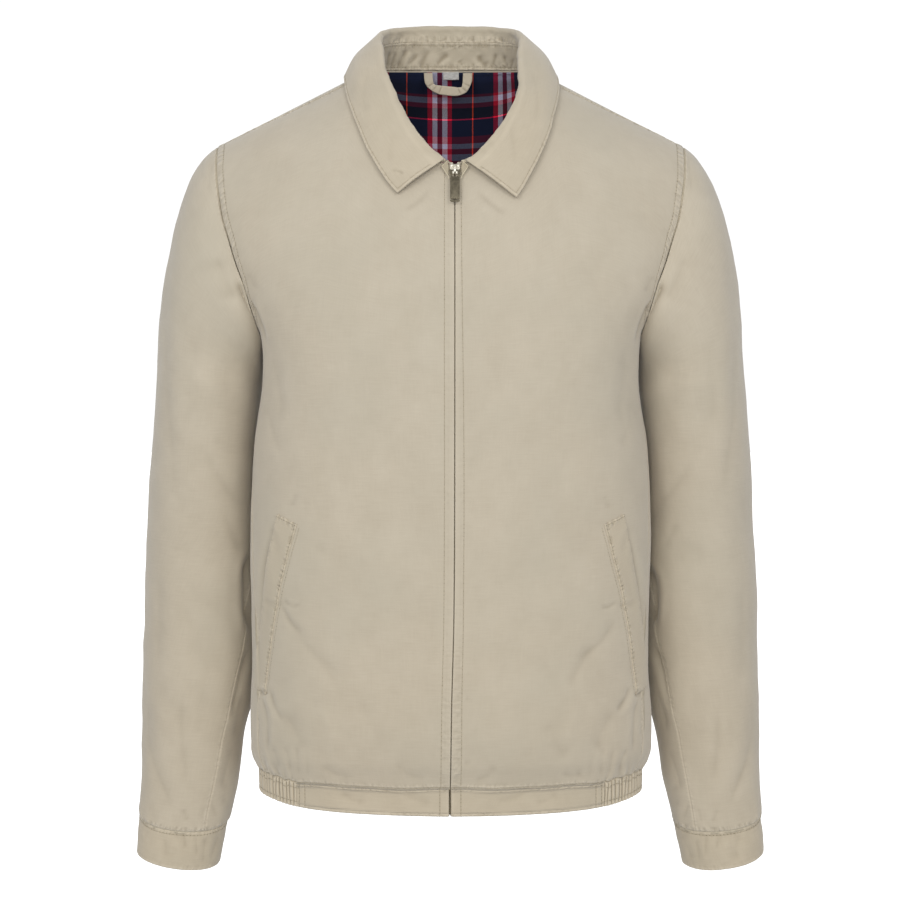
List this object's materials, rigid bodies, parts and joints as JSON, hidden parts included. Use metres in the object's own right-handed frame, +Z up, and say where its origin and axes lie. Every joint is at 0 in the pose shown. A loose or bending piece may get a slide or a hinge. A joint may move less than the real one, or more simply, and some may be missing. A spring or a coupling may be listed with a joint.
{
  "type": "harrington jacket",
  "caption": "Light cotton blouson jacket with a shirt collar, full-length front zip, slanted welt pockets, elasticated hem band and checked lining, filled out and open at neck, hem and cuffs.",
  "frame": {"origin": "in the neck opening, level with the shoulders beside the collar, on the middle of the body from side to side, where the wearer's neck and shoulders hold the jacket up", "axes": "+Z up towards the collar, -Y out of the zip front, +X towards the wearer's left sleeve"},
  "size_m": [0.6038, 0.2496, 0.8094],
  "materials": {
    "shell": "matte fine cotton twill, garment-washed",
    "lining": "yarn-dyed check in navy, red, white and grey",
    "zip_tape": "woven polyester tape",
    "label": "plain woven tag",
    "zip_metal": "nickel plate",
    "pull_metal": "antiqued dark plate, worn bright at the edges"
  },
  "bodies": {
    "jacket": {"front_right": "shell", "front_left": "shell", "back": "shell", "lining_back": "lining", "sleeve_right": "shell", "sleeve_left": "shell", "cuff_right": "shell", "cuff_left": "shell", "hem_front_right": "shell", "hem_front_left": "shell", "hem_elastic_right": "shell", "hem_elastic_left": "shell", "hem_back": "shell", "collar_stand": "shell", "collar_fall": "shell", "pocket_welt_right": "shell", "pocket_welt_left": "shell", "zip_tape_right": "zip_tape", "zip_tape_left": "zip_tape", "zip_tape_end_right": "zip_tape", "zip_tape_end_left": "zip_tape", "hang_loop": "shell", "neck_label": "label", "zip_chain": "zip_metal", "zip_slider": "zip_metal"},
    "pull": {"zip_pull": "pull_metal"}
  },
  "joints": [
    {"name": "pull_tab_swing", "type": "hinge", "parent": "jacket", "child": "pull", "pos_m": [0.00398, -0.10082, -0.09004], "axis": [-1, 0, 0], "range_deg": [0, 120]}
  ]
}
